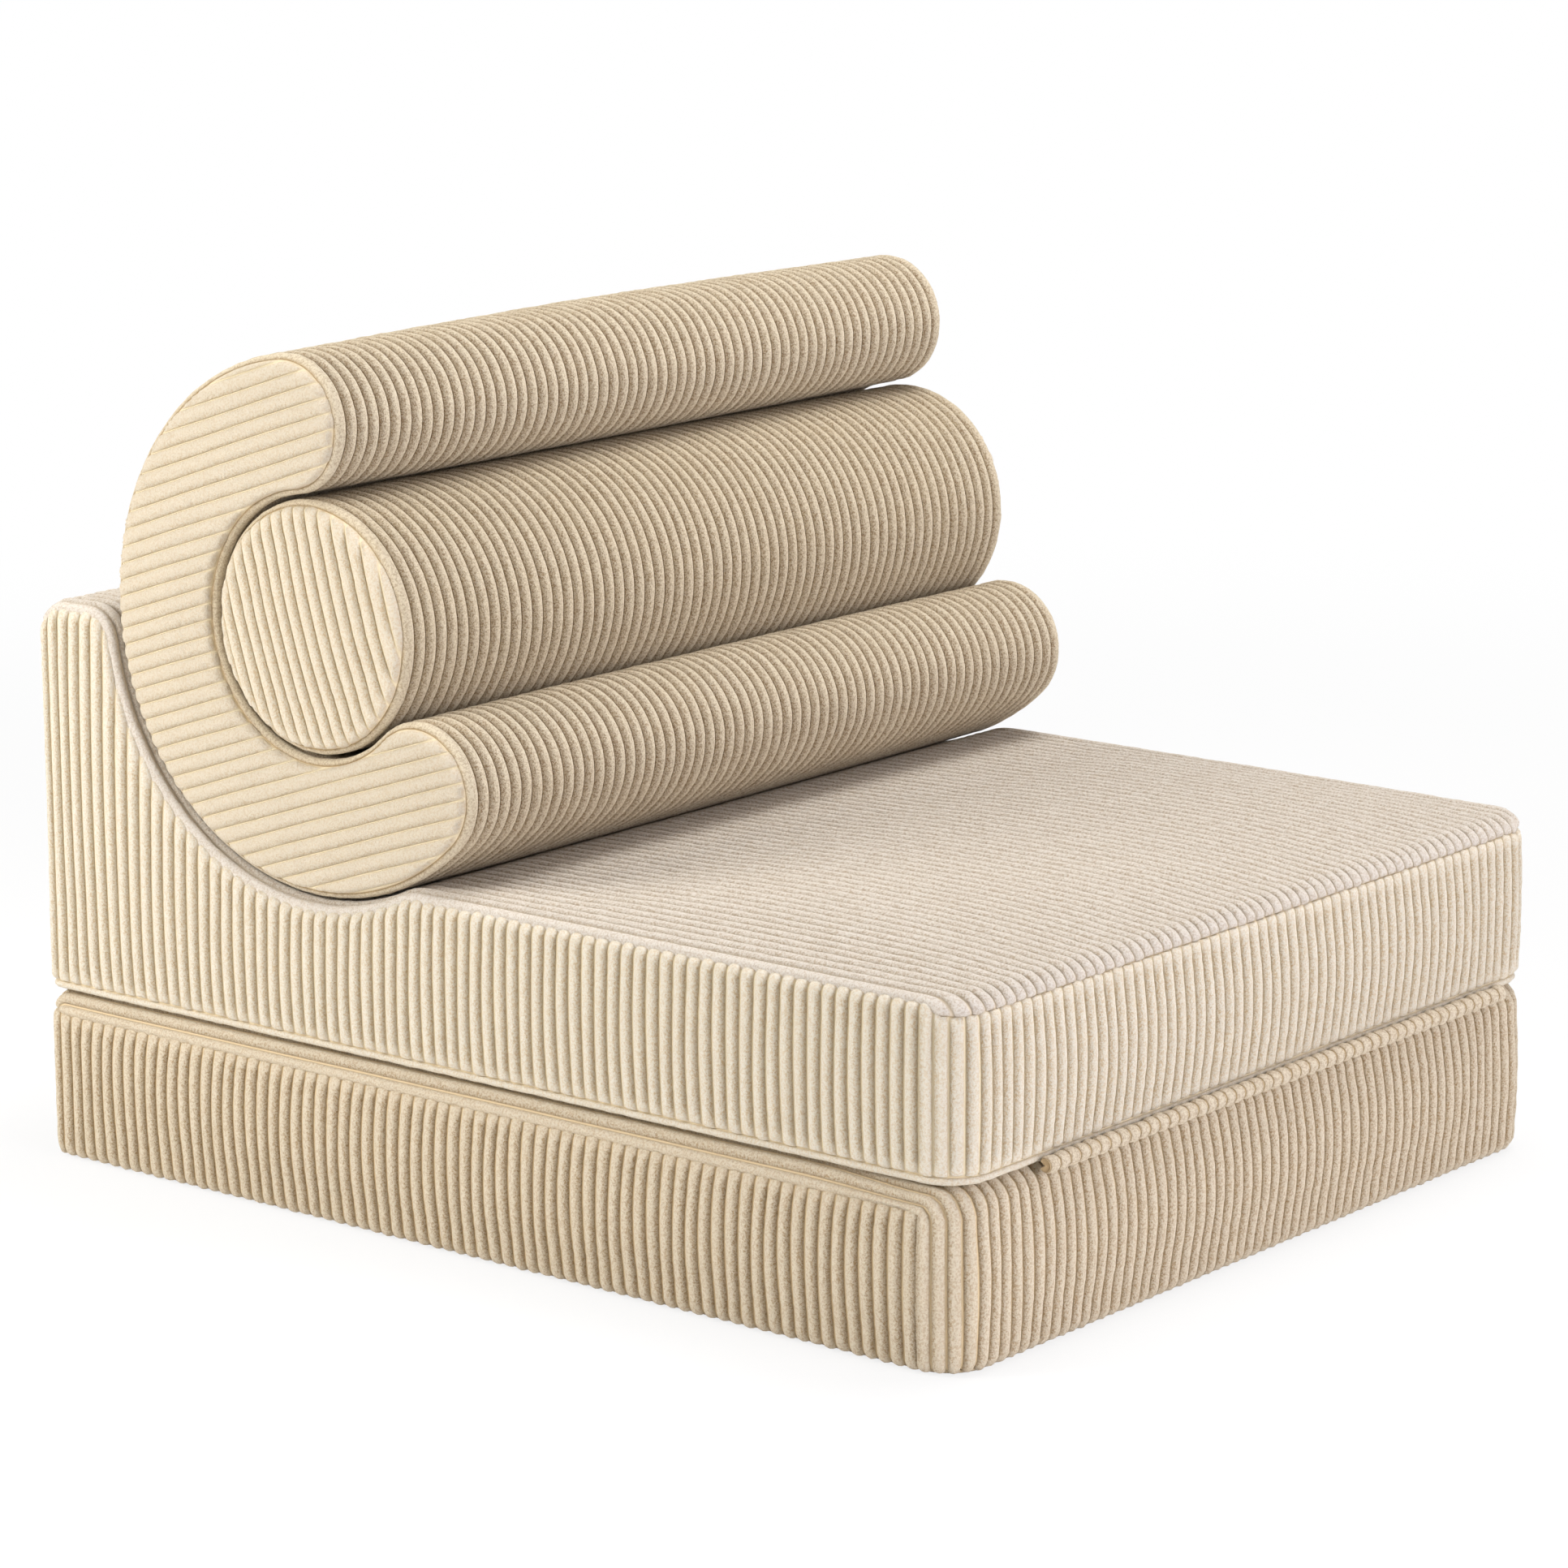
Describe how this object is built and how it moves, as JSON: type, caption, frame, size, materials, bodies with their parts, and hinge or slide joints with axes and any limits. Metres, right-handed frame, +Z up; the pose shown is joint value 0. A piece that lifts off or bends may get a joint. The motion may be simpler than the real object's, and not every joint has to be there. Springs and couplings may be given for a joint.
{
  "type": "fold-out chair",
  "caption": "Low fold-out lounge chair in wide cord: a seat cushion on a mat that folds out in front, with a C-shaped backrest that holds a round bolster.",
  "frame": {"origin": "on the floor, under the middle of the bounding box", "axes": "+Z up, -Y towards the front where the mat folds out, +X across the width, to a sitter's left"},
  "size_m": [0.636, 0.776, 0.5573],
  "materials": {
    "cord_seat": "wide cord, soft pile",
    "cord_sides": "wide cord, soft pile",
    "cord_mat": "wide cord, soft pile",
    "cord_backrest": "wide cord, soft pile",
    "cord_backrest_ends": "wide cord, soft pile",
    "cord_roll": "wide cord, soft pile",
    "cord_roll_ends": "wide cord, soft pile",
    "cord_strip": "wide cord, soft pile",
    "foam": "open-cell foam, unseen",
    "zip_tape": "woven tape and coil",
    "zip_metal": "nickel, satin"
  },
  "bodies": {
    "seat": {"seat_foam": "foam", "seat_top_cover": "cord_seat", "seat_front_cover": "cord_seat", "seat_back_cover": "cord_seat", "seat_bottom_cover": "cord_seat", "seat_left_cover": "cord_sides", "seat_right_cover": "cord_sides", "fold_strip": "cord_strip", "seat_zip_tape": "zip_tape"},
    "seat_slider": {"seat_zip_slider": "zip_metal"},
    "seat_pull": {"seat_zip_pull": "zip_metal"},
    "mat": {"mat_foam": "foam", "mat_top_front_cover": "cord_mat", "mat_back_cover": "cord_mat", "mat_bottom_cover": "cord_mat", "mat_left_cover": "cord_sides", "mat_right_cover": "cord_sides", "mat_zip_tape": "zip_tape"},
    "mat_slider": {"mat_zip_slider": "zip_metal"},
    "mat_pull": {"mat_zip_pull": "zip_metal"},
    "backrest": {"backrest_foam": "foam", "backrest_wrap_cover": "cord_backrest", "backrest_left_cover": "cord_backrest_ends", "backrest_right_cover": "cord_backrest_ends", "backrest_zip_tape": "zip_tape"},
    "backrest_slider": {"backrest_zip_slider": "zip_metal"},
    "backrest_pull": {"backrest_zip_pull": "zip_metal"},
    "roll": {"roll_foam": "foam", "roll_wrap_cover": "cord_roll", "roll_left_cover": "cord_roll_ends", "roll_right_cover": "cord_roll_ends", "roll_zip_tape": "zip_tape"},
    "roll_slider": {"roll_zip_slider": "zip_metal"},
    "roll_pull": {"roll_zip_pull": "zip_metal"}
  },
  "joints": [
    {"name": "mat_fold", "type": "hinge", "parent": "seat", "child": "mat", "pos_m": [0, -0.38228, 0.115], "axis": [-1, 0, 0], "range_deg": [0, 180]},
    {"name": "backrest_lift", "type": "slide", "parent": "seat", "child": "backrest", "axis": [0, 0, 1], "range_m": [0, 0.2]},
    {"name": "roll_out", "type": "slide", "parent": "backrest", "child": "roll", "axis": [-1, 0, 0], "range_m": [0, 0.65]},
    {"name": "seat_zip_run", "type": "slide", "parent": "seat", "child": "seat_slider", "axis": [-1, 0, 0], "range_m": [0, 0.446]},
    {"name": "seat_pull_swing", "type": "hinge", "parent": "seat_slider", "child": "seat_pull", "pos_m": [0.2325, 0.38401, 0.163], "axis": [0, 0, -1], "range_deg": [0, 150]},
    {"name": "mat_zip_run", "type": "slide", "parent": "mat", "child": "mat_slider", "axis": [-1, 0, 0], "range_m": [0, 0.446]},
    {"name": "mat_pull_swing", "type": "hinge", "parent": "mat_slider", "child": "mat_pull", "pos_m": [0.2325, 0.38597, 0.0575], "axis": [0, 0, -1], "range_deg": [0, 150]},
    {"name": "backrest_zip_run", "type": "slide", "parent": "backrest", "child": "backrest_slider", "axis": [-1, 0, 0], "range_m": [0, 0.406]},
    {"name": "backrest_pull_swing", "type": "hinge", "parent": "backrest_slider", "child": "backrest_pull", "pos_m": [0.2125, 0.28768, 0.47082], "axis": [0, 0.5, -0.866], "range_deg": [0, 150]},
    {"name": "roll_zip_run", "type": "slide", "parent": "roll", "child": "roll_slider", "axis": [0, -1, 0], "range_m": [0, 0.078]},
    {"name": "roll_pull_swing", "type": "hinge", "parent": "roll_slider", "child": "roll_pull", "pos_m": [0.31195, 0.18752, 0.385], "axis": [0, 0, 1], "range_deg": [0, 150]}
  ]
}
